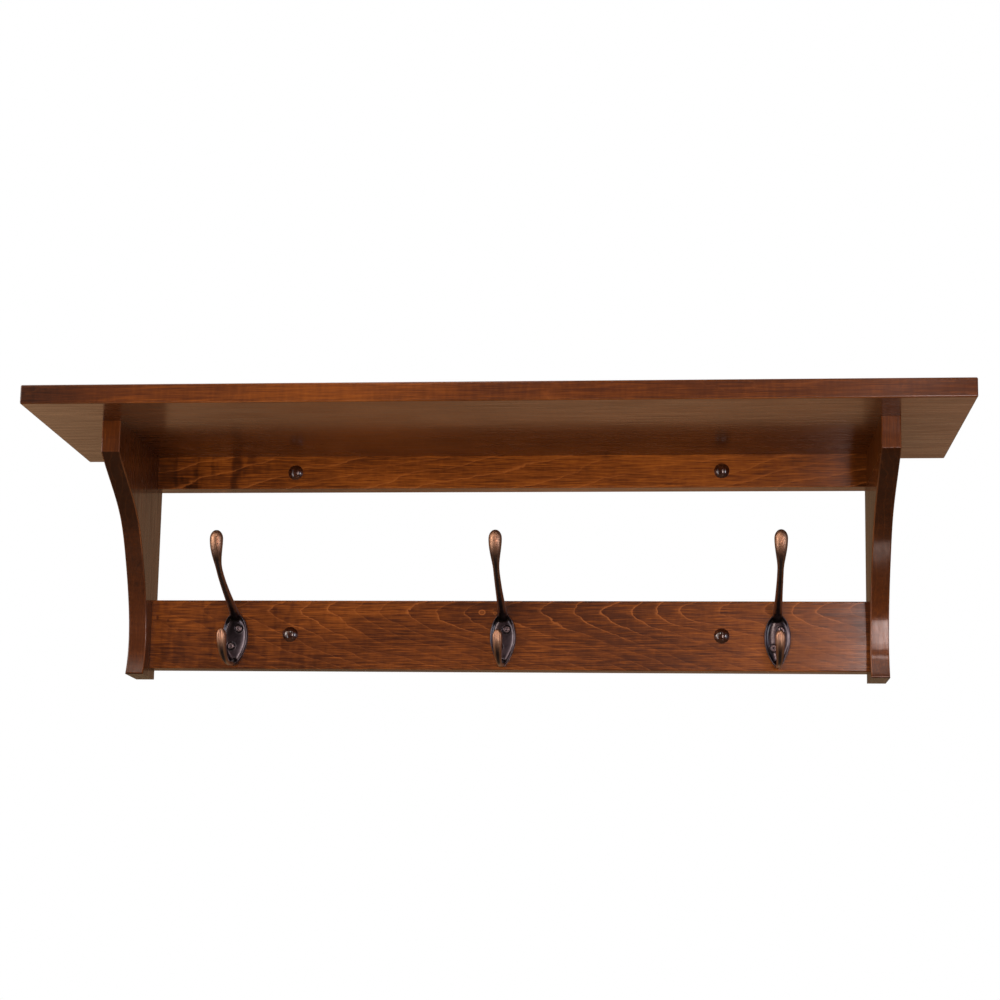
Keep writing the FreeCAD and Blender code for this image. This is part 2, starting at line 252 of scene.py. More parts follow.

# Each board's own figure. Places and lengths are in metres.
# axes: along the grain, across it, into the board.
# offset: where in the noise the board is cut from.
# rings: where the pith lies across and inward, the ring spacing, how fast the rings open.
# lines: strength of the growth lines; topLines: how much stronger they are on the top face.
# linesFrom: (start, full, share before the start), along the grain.
# linesFade: (near, far, share left), by distance from the pith.
# contrast, tone, endTone: spread of the tone, its shift, its shift on end grain.
# underside tone: the underside is lightened by this much, as painted light.
# Patches along the grain: (place along, half width, change of tone); most are tone of the wood, and
# the ones marked on the rails are painted shade and a painted sheen.
# blotch: a stretch of dark cross figure, given in the same way.
# marks: (place along, place across, half length, half height, change of tone).
# knots: (place along, place across, radius).
# ripple: strength of the cross ripple.
# lacquerGloss: roughness of the lacquer; satinTop: the top face's share of its weight.
# outerSides: the X sides that carry less of it.
# dullFrom: (start, full, share left) of it, along the grain.
boardLooks = {
    "shelf_top": {
        "axes": "XYZ", "offset": (3.1, 0.4, 7.7), "rings": (0.05, 0.20, 0.007, 0.02), "lines": 0.08,
        "contrast": 0.5, "tone": -0.12, "lacquerGloss": 0.17,
        "toneAndPaintedLightPatches": [
            (-0.47, 0.15, -0.28), (-0.13, 0.15, 0.12), (0.22, 0.25, -0.05), (0.44, 0.12, -0.07),
        ],
        "ripple": 0.14, "topLines": 4.5, "satinTop": 0.15, "paintedUnderLight": 0.05,
        "outerSides": (-1, 1),
    },
    "upper_rail": {
        "axes": "XZY", "offset": (0.7, 5.2, 1.9),
        "rings": (0.058, -0.012, 0.016, -0.22), "lines": 0.5,
        "tone": -0.03, "lacquerGloss": 0.15,
        # its two ends by the brackets are darkened as painted shade
        "toneAndPaintedLightPatches": [(-0.375, 0.08, -0.18), (0.1, 0.34, 0.10), (0.375, 0.04, -0.18)],
        "blotch": (-0.315, 0.055, 0.26),
    },
    "lower_rail": {
        "axes": "XZY", "offset": (2.3, 1.2, 4.4),
        "rings": (-0.0615, -0.0125, 0.0118, -0.36), "lines": 0.85,
        "linesFrom": (-0.30, -0.20, 0.15), "linesFade": (0.012, 0.040, 0.35),
        "tone": -0.045, "lacquerGloss": 0.15,
        # its right end by the bracket is darkened as painted shade, and its right third (at 0.29) is
        # lightened as a painted sheen
        "toneAndPaintedLightPatches": [
            (-0.375, 0.09, 0.04), (0.07, 0.18, -0.045), (0.29, 0.13, 0.12), (0.375, 0.02, -0.12),
        ],
        "blotch": (-0.29, 0.13, 0.09),
        "marks": [
            (-0.316, -0.055, 0.005, 0.006, 0.16), (-0.3685, -0.0695, 0.0018, 0.003, -0.25),
            (-0.357, -0.0725, 0.0015, 0.002, -0.20),
        ],
        "knots": [(-0.0232, -0.0632, 0.0021), (-0.0095, -0.0640, 0.0012)],
    },
    # The left bracket's tone sits below the right one's as painted shade; the rest of both tones is
    # the wood's colour.
    "bracket_left": {
        "axes": "ZYX", "offset": (6.6, 3.3, 0.2), "rings": (-0.02, 0.05, 0.008, 0.03), "lines": 0.1,
        "contrast": 0.4, "tone": -0.19, "endTone": -0.28, "ripple": 0.18, "lacquerGloss": 0.11,
        "outerSides": (-1,),
    },
    "bracket_right": {
        "axes": "ZYX", "offset": (9.1, 8.3, 5.2), "rings": (-0.05, 0.06, 0.008, 0.02), "lines": 0.1,
        "contrast": 0.4, "tone": -0.13, "endTone": -0.28, "ripple": 0.14, "lacquerGloss": 0.11,
        "dullFrom": (0.066, 0.076, 0.30), "outerSides": (1,),
    },
}


class StainedBoard(Shading):
    # The figure and finish of one board, from its entry in boardLooks

    def __init__(self, name, look):
        super().__init__(name)
        self.look = look
        parts = dict(zip("XYZ", self.split(self.place())))
        inGrain = [parts[axis] for axis in look["axes"]]
        self.along, self.across, self.inward = inGrain
        self.shifted = [self.plus(part, shift) for part, shift in zip(inGrain, look["offset"])]
        normal = self.split(self.facing())
        self.sideways, self.upward = normal[0], normal[2]
        self.faces = dict(zip("XYZ", [self.math("ABSOLUTE", part) for part in normal]))
        self.fields = {kind: self.field(kind) for kind in toneShares}

    def field(self, kind):
        stretch, scale, detail, roughness, distortion = woodNoise[kind]
        along, across, inward = self.shifted
        place = self.join(self.times(along, 1 / stretch), across, inward)
        return self.noise(place, scale, detail, roughness, distortion)

    def onFace(self, facing, share):
        # The share where the surface faces that way squarely, else 1
        return self.between(facing, 0.5, 0.9, 1.0, share)

    def setRings(self):
        # Distance from the pith, opening along the grain, with a slow and a jagged wobble
        pithAcross, pithInward, spacing, opening = self.look["rings"]
        self.fromPith = self.length(self.join(
            0.0, self.minus(self.across, pithAcross), self.minus(self.inward, pithInward)))
        slow = self.times(self.field("slowWobble"), woodLook["slowWobble"])
        jagged = self.times(self.field("jagged"), woodLook["jagged"])
        level = self.plus(self.fromPith, self.times(self.along, opening))
        level = self.plus(level, self.plus(slow, jagged))
        self.ring = self.math("FRACT", self.over(level, spacing))

    def growthLines(self):
        # Thin pale lines where one ring ends and the next starts
        look = self.look
        thinLine = self.ramp(self.ring, [
            (0.0, grey(1)), (0.03, grey(0.55)), (0.075, grey(0.12)), (0.20, grey(0)),
            (0.965, grey(0)), (1.0, grey(1)),
        ])
        seen = self.between(self.field("lineGaps"), 0.36, 0.56, 0.25, 1.0)
        if "topLines" in look:
            seen = self.times(seen, self.onFace(self.upward, look["topLines"]))
        if "linesFrom" in look:
            start, full, faint = look["linesFrom"]
            seen = self.times(seen, self.between(self.along, start, full, faint, 1.0))
        if "linesFade" in look:
            strong, weak, share = look["linesFade"]
            seen = self.times(seen, self.between(self.fromPith, strong, weak, 1.0, share))
        return self.times(self.times(thinLine, seen), woodLook["lineShare"] * look["lines"])

    def knotLines(self, lineShare):
        # Adds pale rings round each small knot, longer along the grain
        for knotAlong, knotAcross, radius in self.look.get("knots", []):
            away = self.length(self.join(
                self.times(self.minus(self.along, knotAlong), 0.75),
                self.minus(self.across, knotAcross), 0.0))
            away = self.plus(away, self.times(self.fields["curl"], radius * 0.5))
            ringShare = self.ramp(self.over(away, radius * 4), [
                (0.12, grey(0.25)), (0.24, grey(0.15)), (0.32, grey(0.60)), (0.44, grey(0)),
            ])
            lineShare = self.math("MAXIMUM", lineShare, ringShare)
        return lineShare

    def tone(self):
        # How dark the stain is at each point: 0 to 1 on the scale from deep to light
        look = self.look
        tone = 0.5 + look.get("tone", 0.0)
        contrast = look.get("contrast", 1.0)
        for kind, amount in toneShares.items():
            varied = self.times(self.minus(self.fields[kind], 0.5), amount * contrast)
            tone = self.plus(tone, varied)
        tone = self.minus(tone, self.times(self.ring, woodLook["ringShade"] * look["lines"]))
        for place, half, change in look.get("toneAndPaintedLightPatches", []):
            away = self.apart(self.along, place)
            tone = self.plus(tone, self.between(away, 0.0, half, change, 0.0))
        for placeAlong, placeAcross, halfLength, halfHeight, change in look.get("marks", []):
            away = self.length(self.join(
                self.over(self.minus(self.along, placeAlong), halfLength),
                self.over(self.minus(self.across, placeAcross), halfHeight), 0.0))
            tone = self.plus(tone, self.between(away, 0.3, 1.1, change, 0.0))
        if "blotch" in look:
            place, half, change = look["blotch"]
            flame = self.between(self.field("flame"), 0.48, 0.66)
            dark = self.between(self.apart(self.along, place), half * 0.55, half, change, 0.0)
            tone = self.minus(tone, self.times(dark, flame))
        if "ripple" in look:
            ripple = self.times(self.minus(self.field("ripple"), 0.5), look["ripple"])
            wide = self.onFace(self.faces[look["axes"][2]], woodLook["wideRipple"])
            tone = self.plus(tone, self.times(ripple, wide))
        # painted light: the underside is made lighter
        if "paintedUnderLight" in look:
            tone = self.plus(tone, self.between(self.upward, -0.9, -0.5, look["paintedUnderLight"], 0.0))
        endGrain = self.between(self.faces[look["axes"][0]], 0.12, 0.75)
        return self.plus(tone, self.times(endGrain, look.get("endTone", woodLook["endTone"])))

    def paintArrisHighlight(self, colour):
        # The rounded edges face neither way squarely, and get a painted highlight: a lighter colour,
        # uneven along them
        faces = self.faces
        largest = self.math("MAXIMUM", faces["X"], self.math("MAXIMUM", faces["Y"], faces["Z"]))
        if self.look["axes"][2] == "X":
            largest = self.math("MAXIMUM", faces["X"], self.minus(1.0, faces["X"]))
        highlightShare = self.between(largest, 0.82, 0.97, 1.0, 0.0)
        least, most = woodLook["arrisHighlightShare"]
        highlightShare = self.times(highlightShare, self.between(self.fields["cloud"], 0.35, 0.65, least, most))
        return self.blend(highlightShare, colour, woodLook["edge"])

    def paint(self):
        self.setRings()
        lineShare = self.growthLines()
        colour = self.ramp(self.tone(), [
            (0.05, woodLook["deep"]), (0.32, woodLook["dark"]),
            (0.53, woodLook["middle"]), (0.84, woodLook["light"]),
        ])
        colour = self.blend(self.knotLines(lineShare), colour, woodLook["line"])
        gloss = woodLook["gloss"]
        self.set(
            Base_Color=self.paintArrisHighlight(colour),
            Roughness=self.between(self.fields["fibre"], 0.3, 0.7, gloss - 0.06, gloss + 0.08))

    def lacquer(self):
        # A brushed coat, thinner on the faces where the look says so
        look, full = self.look, woodLook["lacquer"]
        weight = self.between(self.field("brushed"), 0.30, 0.66, full - 0.26, full + 0.08)
        if "satinTop" in look:
            weight = self.times(weight, self.onFace(self.upward, look["satinTop"]))
        if "dullFrom" in look:
            start, end, share = look["dullFrom"]
            weight = self.times(weight, self.between(self.along, start, end, 1.0, share))
        for side in look.get("outerSides", []):
            outward = self.times(self.sideways, side)
            weight = self.times(weight, self.onFace(outward, woodLook["satinSide"]))
        self.set(Specular_IOR_Level=0.10, Coat_IOR=1.5)
        self.set(Coat_Weight=weight, Coat_Roughness=look["lacquerGloss"])

    def grain(self):
        # Slow waves of the surface, pores in the wood, fine dimples in the lacquer
        wave = self.field("wave")
        dimple = self.noise(self.place(), 900, 2, 0.5)
        streak, fibre = self.fields["streak"], self.fields["fibre"]
        self.set(Normal=self.bump([(wave, 0.0002), (streak, 0.00003), (fibre, 0.00003)]))
        self.set(Coat_Normal=self.bump([(wave, 0.0002), (fibre, 0.000008), (dimple, 0.000002)]))


def dress(mesh, material):
    mesh.materials.clear()
    mesh.materials.append(material)


def dressBoards():
    for name, look in boardLooks.items():
        board = StainedBoard("Stained " + name.replace("_", " "), look)
        board.paint()
        board.lacquer()
        board.grain()
        dress(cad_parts[name].data, board.material)
    print("boards dressed:", len(boardLooks))


# Dowels, hidden in the joints

dowelLook = {"pale": fromScreen(205, 168, 118), "dark": fromScreen(166, 122, 74)}


def dressDowels():
    beech = Shading("Dowel beech")
    place = beech.place()
    fleck = beech.noise(place, 900, 3, 0.6)
    slow = beech.noise(place, 60, 2, 0.5)
    tone = beech.plus(beech.times(fleck, 0.6), beech.times(slow, 0.4))
    beech.set(Base_Color=beech.ramp(tone, [(0.3, dowelLook["dark"]), (0.7, dowelLook["pale"])]))
    beech.set(Roughness=beech.between(fleck, 0.3, 0.7, 0.55, 0.75))
    beech.set(Normal=beech.bump([(fleck, 0.00008)]))
    dowels = [node for name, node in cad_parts.items() if "dowels" in name]
    for node in dowels:
        dress(node.data, beech.material)
    print("dowel nodes dressed:", len(dowels))


# Mesh helpers

def makeObject(name, data):
    made = bpy.data.objects.new(name, data)
    bpy.context.scene.collection.objects.link(made)
    return made


def closeShell(shell, name):
    # The finished bmesh as a mesh whose faces point outward
    bmesh.ops.recalc_face_normals(shell, faces=shell.faces)
    mesh = bpy.data.meshes.new(name)
    shell.to_mesh(mesh)
    shell.free()
    return mesh


def circle(x, y, z, radius, count):
    # Points round a middle, in a plane that lies parallel to the wall
    turns = [2 * math.pi * step / count for step in range(count)]
    return [(x + radius * math.cos(turn), y, z + radius * math.sin(turn)) for turn in turns]


def addLoft(mesh, rows):
    # Closed skin through rings of equally many points
    rings = [[mesh.verts.new(place) for place in row] for row in rows]
    count = len(rings[0])
    for lower, upper in zip(rings, rings[1:]):
        for index in range(count):
            after = (index + 1) % count
            mesh.faces.new((lower[index], lower[after], upper[after], upper[index]))
    mesh.faces.new(list(reversed(rings[0])))
    mesh.faces.new(rings[-1])


def smoothThrough(values, steps):
    # Points on a smooth curve through the values, with this many steps between each pair
    ends = [2 * values[0] - values[1]] + list(values) + [2 * values[-1] - values[-2]]
    found = []
    for before, start, end, after in zip(ends, ends[1:], ends[2:], ends[3:]):
        for step in range(steps):
            share = step / steps
            bend = 2 * start + (end - before) * share
            bend += (2 * before - 5 * start + 4 * end - after) * share ** 2
            bend += (3 * start - before - 3 * end + after) * share ** 3
            found.append(bend / 2)
    return found + [values[-1]]


def eased(share):
    return share * share * (3 - 2 * share)


def bakedCopy(piece, name):
    # The mesh as its modifiers leave it
    graph = bpy.context.evaluated_depsgraph_get()
    mesh = bpy.data.meshes.new_from_object(piece.evaluated_get(graph))
    mesh.name = name
    return mesh


def readMesh(mesh):
    # Places and normals of the points, one row each
    count = len(mesh.vertices)
    places, normals = np.empty(count * 3), np.empty(count * 3)
    mesh.vertices.foreach_get("co", places)
    mesh.vertex_normals.foreach_get("vector", normals)
    return places.reshape(count, 3), normals.reshape(count, 3)


def storeValues(mesh, name, values):
    mesh.attributes.new(name, "FLOAT", "POINT").data.foreach_set("value", values)


# Hooks

hookShape = {
    "level": -0.09018,            # height of the plate's widest place
    "plateHalfWidth": 0.0135,
    "plateHeight": 0.057,
    "plateWidths": [0.36, 0.74, 0.96, 1.0, 0.94, 0.71, 0.44, 0.16],
    "plateRises": [0.415, 0.30, 0.14, 0.0, -0.14, -0.305, -0.44, -0.54],
    "rimHeight": 0.0046,
    "rimWidth": 0.0021,
    "rimHeightAtPoint": 0.0080,
    "rimHeightAtNeck": 0.0090,
    "pointReach": 0.3,            # the rim starts to rise this share of the height from the point
    "neckReach": 0.2,
    "plateSteps": 7,              # rows between two of the widths above
    "dishHeight": 0.0020,
    "backEdge": 0.0006,           # straight part of the rim's outer side
    # Rim from its outer side to its inner one: (share of its width, share of its height)
    "rimProfile": [(0.0, 0.55), (0.10, 0.86), (0.34, 1.0), (0.66, 0.96), (1.0, 0.80)],
    "dishProfile": [0.88, 0.72, 0.52, 0.26],
    "dishFoot": 0.72,             # share of the rim's height where the hollow starts
    "dishPower": 3.2,
    "seatRadius": 0.0045,
    "seatHeight": 0.0011,
    "lipWidth": 0.25,             # of the seat's radius
    "lipHeight": 0.0006,
    "sectionPoints": 36,
    "finest": 0.00045,            # voxel that the casting is joined with
    "smoothing": 14,
}

# Both arms. out and up: points that pull the arm's middle line, from the rail and from the level.
# lean: how far the tip stands to the side. swellFrom: where along the arm it starts to widen.
# tipEnd: length of the rounded end. The flute's depth is a share of the radius, its width in
# radians, and fluteTo is where along the arm it starts to run out.
upperArm = {
    "out": [0.00097, 0.05238, 0.097, 0.097], "up": [0.0205, 0.0433, 0.05325, 0.0851],
    "lean": -0.0010, "rootRadius": 0.0053, "radius": 0.0032, "tipRadius": 0.0068, "swellFrom": 0.62,
    "tipEnd": 0.0090, "fluteDepth": 0.20, "fluteWidth": 0.42, "fluteTo": 0.62, "steps": 40,
}

lowerArm = {
    "out": [0.001, 0.031875, 0.0597, 0.0625], "up": [-0.025, -0.0398, -0.0285, -0.0083],
    "lean": -0.0003, "rootRadius": 0.0031, "radius": 0.0023, "tipRadius": 0.0050, "swellFrom": 0.26,
    "tipEnd": 0.0074, "fluteDepth": 0.36, "fluteWidth": 0.34, "fluteTo": 0.80, "steps": 32,
}

armFlatness = 0.86
rootFlarePower = 4
fluteRun = 0.2                    # share of the arm over which a flute starts and ends
fluteAtRoot = 0.4                 # share of its depth at the root
fluteSwell = 0.35                 # how much its sides rise beside it
tipSteps = [0.2, 0.38, 0.54, 0.68, 0.8, 0.89, 0.95, 0.985]


def armPlace(arm, share):
    rest = 1 - share
    weights = (rest ** 3, 3 * rest ** 2 * share, 3 * rest * share ** 2, share ** 3)
    out = sum(weight * value for weight, value in zip(weights, arm["out"]))
    up = sum(weight * value for weight, value in zip(weights, arm["up"]))
    return Vector((out / arm["out"][-1] * arm["lean"], -out, up))


def armSection(place, along, radius, arm, share):
    # An ellipse with a flute on the arm's outer side, which runs out into the rounded tip
    outer = Vector((1, 0, 0)).cross(along).normalized()
    sideways = along.cross(outer).normalized()
    depth = arm["fluteDepth"] * min(1, fluteAtRoot + share / fluteRun)
    depth *= eased(min(1, max(0, (arm["fluteTo"] + fluteRun - share) / fluteRun)))
    count, width = hookShape["sectionPoints"], arm["fluteWidth"]
    ring = []
    for index in range(count):
        turn = 2 * math.pi * index / count
        apart = min(turn, 2 * math.pi - turn)
        pull = 1 - depth * math.exp(-(apart / width) ** 2)
        swell = 1 + fluteSwell * depth * math.exp(-((apart - 2 * width) / width) ** 2)
        reach = pull * swell
        ring.append(
            place + outer * (math.cos(turn) * radius * armFlatness * reach)
            + sideways * (math.sin(turn) * radius * reach)
        )
    return ring


def armRows(arm):
    places, radii = [], []
    for step in range(arm["steps"] + 1):
        share = step / arm["steps"]
        part = max(0, (share - arm["swellFrom"]) / (1 - arm["swellFrom"]))
        flare = (arm["rootRadius"] - arm["radius"]) * (1 - share) ** rootFlarePower
        swell = (arm["tipRadius"] - arm["radius"]) * eased(part)
        places.append(armPlace(arm, share))
        radii.append(arm["radius"] + flare + swell)
    upward = (armPlace(arm, 1.0) - armPlace(arm, 0.98)).normalized()
    for share in tipSteps:
        places.append(armPlace(arm, 1.0) + upward * arm["tipEnd"] * share)
        radii.append(arm["tipRadius"] * math.sqrt(1 - share ** 2))
    rows = []
    last = len(places) - 1
    for index, (place, radius) in enumerate(zip(places, radii)):
        along = (places[min(index + 1, last)] - places[max(index - 1, 0)]).normalized()
        rows.append(armSection(place, along, radius, arm, index / last))
    return rows


def plateRows():
    # Each row is one level of the leaf: flat back, rounded rim, hollow front
    shape = hookShape
    halfWidth, height, steps = shape["plateHalfWidth"], shape["plateHeight"], shape["plateSteps"]
    widths = smoothThrough([share * halfWidth for share in shape["plateWidths"]], steps)
    rises = smoothThrough([share * height for share in shape["plateRises"]], steps)
    highest, lowest = rises[0], rises[-1]
    rows = []
    for half, rise in zip(widths, rises):
        nearPoint = max(0, 1 - (rise - lowest) / (shape["pointReach"] * height))
        nearNeck = max(0, 1 - (highest - rise) / (shape["neckReach"] * height))
        rim = shape["rimHeight"] + (shape["rimHeightAtPoint"] - shape["rimHeight"]) * nearPoint ** 2
        rim += (shape["rimHeightAtNeck"] - shape["rimHeight"]) * nearNeck ** 1.5
        edge = min(shape["rimWidth"], half * 0.6)
        bottom = shape["dishHeight"] + (rim - shape["dishHeight"]) * nearNeck ** 3
        side = [(half * 0.5, 0.0), (half - 0.15 * edge, 0.0), (half, shape["backEdge"])]
        side += [(half - edge * inward, rim * level) for inward, level in shape["rimProfile"]]
        hollow = rim * shape["dishFoot"] - bottom
        for share in shape["dishProfile"]:
            side.append(((half - edge) * share, bottom + hollow * share ** shape["dishPower"]))
        row = side + [(0.0, bottom)] + [(-x, out) for x, out in reversed(side)]
        rows.append([Vector((x, -out, rise)) for x, out in row])
    return rows


def hookMiddle(name):
    low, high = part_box("hook_" + name)
    return high.x - hookShape["plateHalfWidth"]


def screwSeats(name):
    # Middles of the two screw heads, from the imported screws, in the hook's own frame
    low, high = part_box("hook_" + name + "_screws")
    radius = screwShape["headRadius"]
    middle = hookMiddle(name)
    right, left = high.x - radius - middle, low.x + radius - middle
    level = hookShape["level"]
    return [(right, high.z - radius - level), (left, low.z + radius - level)]


def castHook():
    # One casting: plate and arms are joined by a fine voxel remesh and lightly smoothed
    shell = bmesh.new()
    addLoft(shell, plateRows())
    addLoft(shell, armRows(upperArm))
    addLoft(shell, armRows(lowerArm))
    piece = makeObject("hookShells", closeShell(shell, "hook shells"))
    remesh = piece.modifiers.new("Join", "REMESH")
    remesh.mode = "VOXEL"
    remesh.voxel_size = hookShape["finest"]
    smooth = piece.modifiers.new("Soften", "SMOOTH")
    smooth.factor = 0.5
    smooth.iterations = hookShape["smoothing"]
    cast = bakedCopy(piece, "hook casting")
    bpy.data.objects.remove(piece)
    pressSeats(cast)
    markWear(cast)
    cast.shade_smooth()
    return cast


def pressSeats(mesh):
    # Flattens the round seats under the screw heads and keeps the back on the rail
    places, normals = readMesh(mesh)
    radius, seat, lipWidth = (hookShape[name] for name in ("seatRadius", "seatHeight", "lipWidth"))
    front = (normals[:, 1] < -0.15) & (places[:, 1] > -2 * hookShape["rimHeight"])
    for x, up in screwSeats("centre"):
        away = np.hypot(places[:, 0] - x, places[:, 2] - up)
        places[front & (away < radius), 1] = -seat
        lip = front & (away >= radius) & (away < radius * (1 + lipWidth))
        share = 1 - (away[lip] - radius) / (radius * lipWidth)
        places[lip, 1] = np.minimum(places[lip, 1], -seat - hookShape["lipHeight"] * share)
    places[:, 1] = np.minimum(places[:, 1], 0.0)
    mesh.vertices.foreach_set("co", places.ravel())
    mesh.update()


# Where the bronze is worn bright, and where shade is painted into the dish, in metres and shares
wearShape = {
    "rounds": 12,                 # of averaging, to find what stands out of its surroundings
    "ridge": 0.0006,              # how far a full ridge stands out
    "wornFrom": 0.007,            # nothing nearer the rail is worn
    "wornOver": 0.010,
    "touchReach": 3.2,            # reach of the handled patch, in tip radii
    # Painted shade in the dish: its share in the middle, its fall to the right and its rise upward
    "shadeMiddle": 0.42, "shadeRight": 0.75, "shadeUp": 1.1,
    "shadeEdge": 0.3,             # share of the half width over which it thins out at the rim
    "shadeRing": 0.93,            # painted shade in a ring round each screw, in seat radii, and its width
    "shadeRingWidth": 0.0008,
    "shadeDepth": 0.010,          # no painted shade farther out than this
    "shadeFade": 0.003,
}


def convexity(mesh, places, normals):
    # How far each point stands out of the averaged surface
    count = len(places)
    edges = np.empty(len(mesh.edges) * 2, dtype=np.int64)
    mesh.edges.foreach_get("vertices", edges)
    first, second = edges[0::2], edges[1::2]
    neighbours = np.bincount(first, minlength=count) + np.bincount(second, minlength=count)
    soft = places.copy()
    for _ in range(wearShape["rounds"]):
        total = np.zeros_like(soft)
        for axis in range(3):
            total[:, axis] = np.bincount(first, soft[second, axis], count)
            total[:, axis] += np.bincount(second, soft[first, axis], count)
        soft = total / neighbours[:, None]
    return ((places - soft) * normals).sum(1)


def markWear(mesh):
    # Stores how worn each point is, where it is handled and where shade is painted into the dish
    places, normals = readMesh(mesh)
    shape = wearShape
    convex = np.clip(0.5 + convexity(mesh, places, normals) / shape["ridge"], 0, 1)
    out = np.clip((-places[:, 1] - shape["wornFrom"]) / shape["wornOver"], 0, 1)
    storeValues(mesh, "wear", convex * out)

    touch = np.zeros(len(places))
    for arm in (upperArm, lowerArm):
        away = np.sqrt(((places - np.array(armPlace(arm, 1.0))) ** 2).sum(1))
        touch = np.maximum(touch, np.exp(-(away / (arm["tipRadius"] * shape["touchReach"])) ** 2))
    storeValues(mesh, "touch", touch)

    across, up = places[:, 0] / hookShape["plateHalfWidth"], places[:, 2] / hookShape["plateHeight"]
    paintedShade = shape["shadeMiddle"] - shape["shadeRight"] * across + shape["shadeUp"] * up
    paintedShade = np.clip(paintedShade, 0, 1) * np.clip((1 - np.abs(across)) / shape["shadeEdge"], 0, 1)
    ring = hookShape["seatRadius"] * shape["shadeRing"]
    for x, rise in screwSeats("centre"):
        away = np.hypot(places[:, 0] - x, places[:, 2] - rise)
        paintedShade = np.maximum(paintedShade, np.exp(-((away - ring) / shape["shadeRingWidth"]) ** 2))
    paintedShade *= np.clip((shape["shadeDepth"] + places[:, 1]) / shape["shadeFade"], 0, 1)
    storeValues(mesh, "paintedShade", paintedShade)
    mesh.update()


bronzeLook = {
    "shade": fromScreen(58, 49, 54),
    "patina": fromScreen(88, 76, 82),
    # near-black colour of the painted shade in the dish and round the screws
    "paintedShade": fromScreen(16, 12, 12),
    "copper": fromScreen(222, 168, 130),
    "ridgeRub": 0.62,             # most share of copper on ridges
    "tipRub": 0.58,               # and on the handled tips
    "paintedShadeShare": 0.8,
    "ridgeRange": (0.55, 0.90),   # stored wear that gives none and all of it
    "touchRange": (0.25, 0.95),
    "rubRange": (0.04, 0.40),     # share of copper between whole patina and bare metal
    # Each pair: on whole patina, on bare metal
    "coat": (0.6, 0.0),
    "roughness": (0.34, 0.46),
    "coatRoughness": 0.12,
    "unevenRub": 0.12,
    "unevenRoughness": 0.16,
}


def makeBronze():
    bronze, look = Shading("Rubbed bronze"), bronzeLook
    place = bronze.place()
    cloud = bronze.noise(place, 110, 3, 0.55, 0.3)
    brush = bronze.noise(place, 170, 2, 0.5)
    uneven = bronze.times(bronze.minus(brush, 0.5), look["unevenRub"])
    ridge = bronze.between(bronze.plus(bronze.attribute("wear"), uneven), *look["ridgeRange"])
    handled = bronze.between(bronze.plus(bronze.attribute("touch"), uneven), *look["touchRange"])
    share = bronze.math(
        "MAXIMUM", bronze.times(ridge, look["ridgeRub"]), bronze.times(handled, look["tipRub"]))
    ground = bronze.ramp(cloud, [(0.32, look["shade"]), (0.70, look["patina"])])
    # painted shade darkens the dish and the rings round the screws
    ground = bronze.blend(
        bronze.times(bronze.attribute("paintedShade"), look["paintedShadeShare"]), ground, look["paintedShade"])
    bronze.set(Base_Color=bronze.blend(share, ground, look["copper"]))
    bronze.set(Metallic=1.0, Coat_Roughness=look["coatRoughness"])
    bronze.set(Coat_Weight=bronze.between(share, *look["rubRange"], *look["coat"]))
    rough = bronze.between(share, *look["rubRange"], *look["roughness"])
    unevenly = bronze.times(bronze.minus(cloud, 0.5), look["unevenRoughness"])
    bronze.set(Roughness=bronze.plus(rough, unevenly))
    bronze.set(Normal=bronze.bump([(cloud, 0.00001)]))
    return bronze.material


def makeHooks():
    casting = castHook()
    casting.materials.append(makeBronze())
    for name in hookNames:
        mesh = casting.copy()
        mesh.name = "hook " + name
        mesh.transform(Matrix.Translation((hookMiddle(name), railFace, hookShape["level"])))
        piece = makeObject("hookCasting_" + name, mesh)
        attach(piece, "root")
        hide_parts("hook_" + name)
    bpy.data.meshes.remove(casting)
    print("hooks cast:", len(hookNames))


# Hook screws

# fall: how much the head's face drops to its edge. recessEnd, recessWall: run of the cross's
# slopes at its ends and its sides. recessTaper: how much shallower it is at the ends.
screwShape = {
    "headRadius": 0.0033, "headHeight": 0.0020, "crown": 0.0007,
    "shankRadius": 0.00175, "length": 0.015,
    "recessLength": 0.0019, "recessWidth": 0.00046, "recessDepth": 0.0010, "dimple": 0.0007,
    "dimpleRadius": 0.0013, "fall": 0.00025,
    "recessEnd": 0.0005, "recessWall": 0.00016, "recessTaper": 0.4,
    "pointFrom": 0.77, "pointShare": 0.1,     # of the shank's length and of its radius
    "rings": 26, "turns": 72,
}


def headHeight(x, z):
    # Pan head with a rounded shoulder and a tapered cross recess
    shape = screwShape
    away = math.hypot(x, z)
    shoulder = max(0, (away - (shape["headRadius"] - shape["crown"])) / shape["crown"])
    drop = 1 - math.sqrt(max(0, 1 - min(1, shoulder) ** 2))
    height = shape["headHeight"] - shape["crown"] * drop
    height -= (
        shape["fall"] * (away / shape["headRadius"]) ** 2
        + shape["dimple"] * math.exp(-(away / shape["dimpleRadius"]) ** 2))
    longer, narrower = max(abs(x), abs(z)), min(abs(x), abs(z))
    arm = min(longer, shape["recessLength"])
    sink = min(1, max(0, (shape["recessLength"] - longer) / shape["recessEnd"]))
    sink *= min(1, max(0, (shape["recessWidth"] - narrower) / shape["recessWall"]))
    taper = 1 - shape["recessTaper"] * arm / shape["recessLength"]
    return height - shape["recessDepth"] * sink * taper


